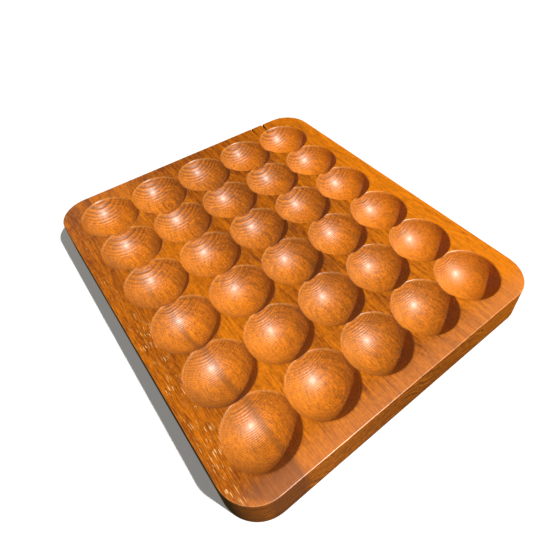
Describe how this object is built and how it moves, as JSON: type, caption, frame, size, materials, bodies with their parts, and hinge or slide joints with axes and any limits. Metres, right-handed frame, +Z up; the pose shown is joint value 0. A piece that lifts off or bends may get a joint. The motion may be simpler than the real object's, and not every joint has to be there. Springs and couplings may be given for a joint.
{
  "type": "pit-and-seed game board",
  "caption": "Thick oiled hardwood game board with round corners and a regular grid of round pits in its top face for seeds or counters.",
  "frame": {"origin": "middle of the board's underside (centre of the bounding box, at its lowest face)", "axes": "+Z up out of the pits, Y along the long side (the grain and the lines of six pits), X across the short side (five pits)"},
  "size_m": [0.3244, 0.384, 0.037],
  "materials": {
    "left_edge_stave_wood": "oiled, satin",
    "left_inner_stave_wood": "oiled, satin",
    "centre_stave_wood": "oiled, satin",
    "right_inner_stave_wood": "oiled, satin",
    "right_edge_stave_wood": "oiled, satin"
  },
  "bodies": {
    "root": {"left_edge_stave": "left_edge_stave_wood", "left_inner_stave": "left_inner_stave_wood", "centre_stave": "centre_stave_wood", "right_inner_stave": "right_inner_stave_wood", "right_edge_stave": "right_edge_stave_wood"}
  },
  "joints": []
}
